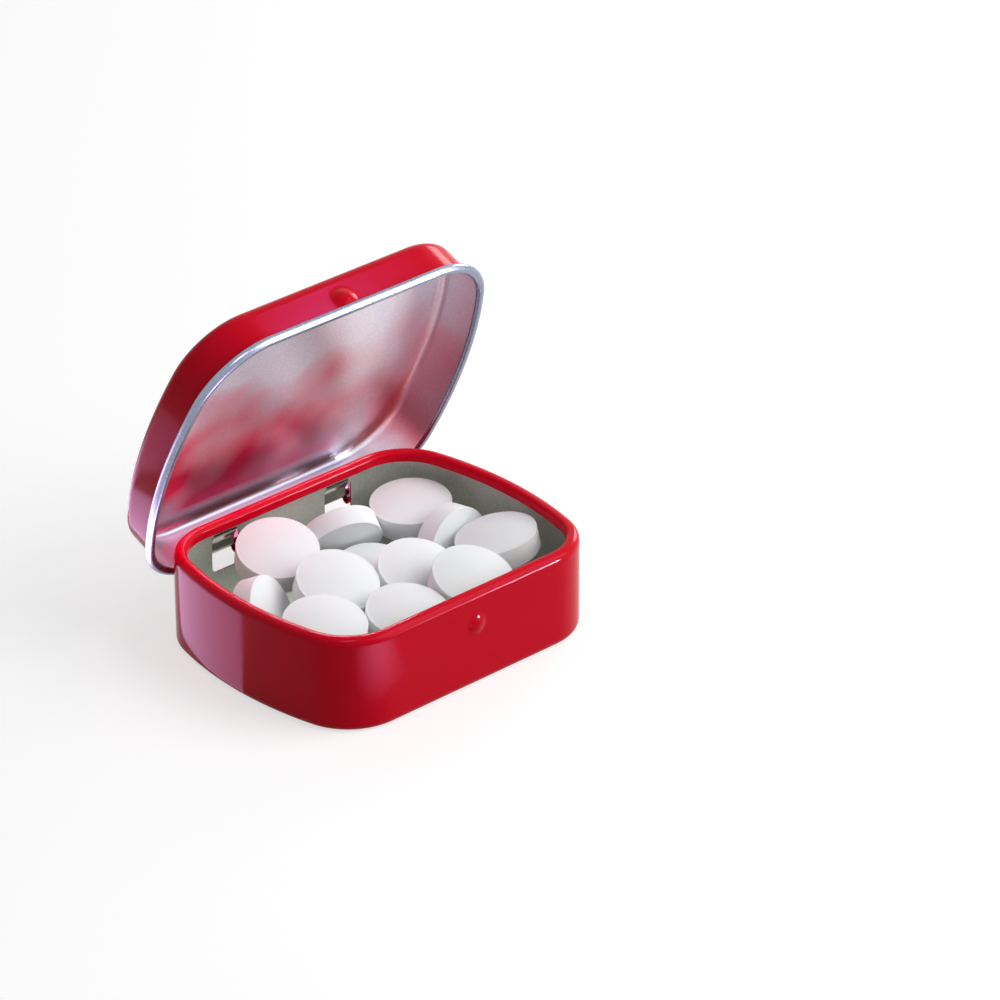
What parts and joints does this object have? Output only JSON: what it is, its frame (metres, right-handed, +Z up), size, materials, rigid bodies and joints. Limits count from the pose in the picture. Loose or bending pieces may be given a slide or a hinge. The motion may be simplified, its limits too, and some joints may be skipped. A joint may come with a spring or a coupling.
{
  "type": "hinged mint tin",
  "caption": "Pocket-size hinged metal tin with rounded corners, its lid standing open on two rolled hinge tabs, filled with loose round white mints.",
  "frame": {"origin": "centre of the base's underside, on the surface the tin stands on", "axes": "+X along the hinge and the tin's length, -Y towards the front with the catch bump, +Z up"},
  "size_m": [0.0622, 0.0529, 0.0561],
  "materials": {
    "red_enamel": "semi-gloss",
    "lid_tinplate": "satin",
    "mint_white": "matt"
  },
  "bodies": {
    "base": {"base_shell": "red_enamel"},
    "mints": {"mint_01": "mint_white", "mint_02": "mint_white", "mint_03": "mint_white", "mint_04": "mint_white", "mint_05": "mint_white", "mint_06": "mint_white", "mint_07": "mint_white", "mint_08": "mint_white", "mint_09": "mint_white", "mint_10": "mint_white", "mint_11": "mint_white", "mint_12": "mint_white", "mint_13": "mint_white", "mint_14": "mint_white"},
    "lid": {"lid_shell": "lid_tinplate"}
  },
  "joints": [
    {"name": "lid_hinge", "type": "hinge", "parent": "base", "child": "lid", "pos_m": [0, 0.02395, 0.0095], "axis": [1, 0, 0], "range_deg": [0, 67]},
    {"name": "mints_lift", "type": "slide", "parent": "base", "child": "mints", "axis": [0, 0, 1], "range_m": [0, 0.017]}
  ]
}
